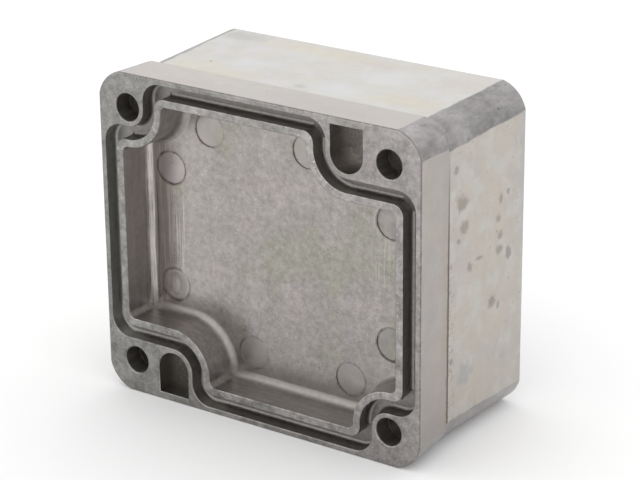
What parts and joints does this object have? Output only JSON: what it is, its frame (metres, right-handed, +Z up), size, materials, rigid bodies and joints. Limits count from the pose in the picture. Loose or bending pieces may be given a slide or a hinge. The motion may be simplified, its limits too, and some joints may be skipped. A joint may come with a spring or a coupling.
{
  "type": "die cast aluminium box",
  "caption": "Small die cast aluminium box, bare casting, its lid stood on edge against the back of its base to show the gasket groove and shallow cavity inside.",
  "frame": {"origin": "centre of the footprint, on the surface the box stands on", "axes": "+Z up; -Y out of the lid's inside, towards the viewer; +X along the box's width"},
  "size_m": [0.064, 0.034, 0.058],
  "materials": {
    "lid_casting": "as cast, grey and mottled, with linished flats",
    "base_casting": "as cast, with linished flats"
  },
  "bodies": {
    "root": {"lid": "lid_casting", "base": "base_casting"}
  },
  "joints": []
}
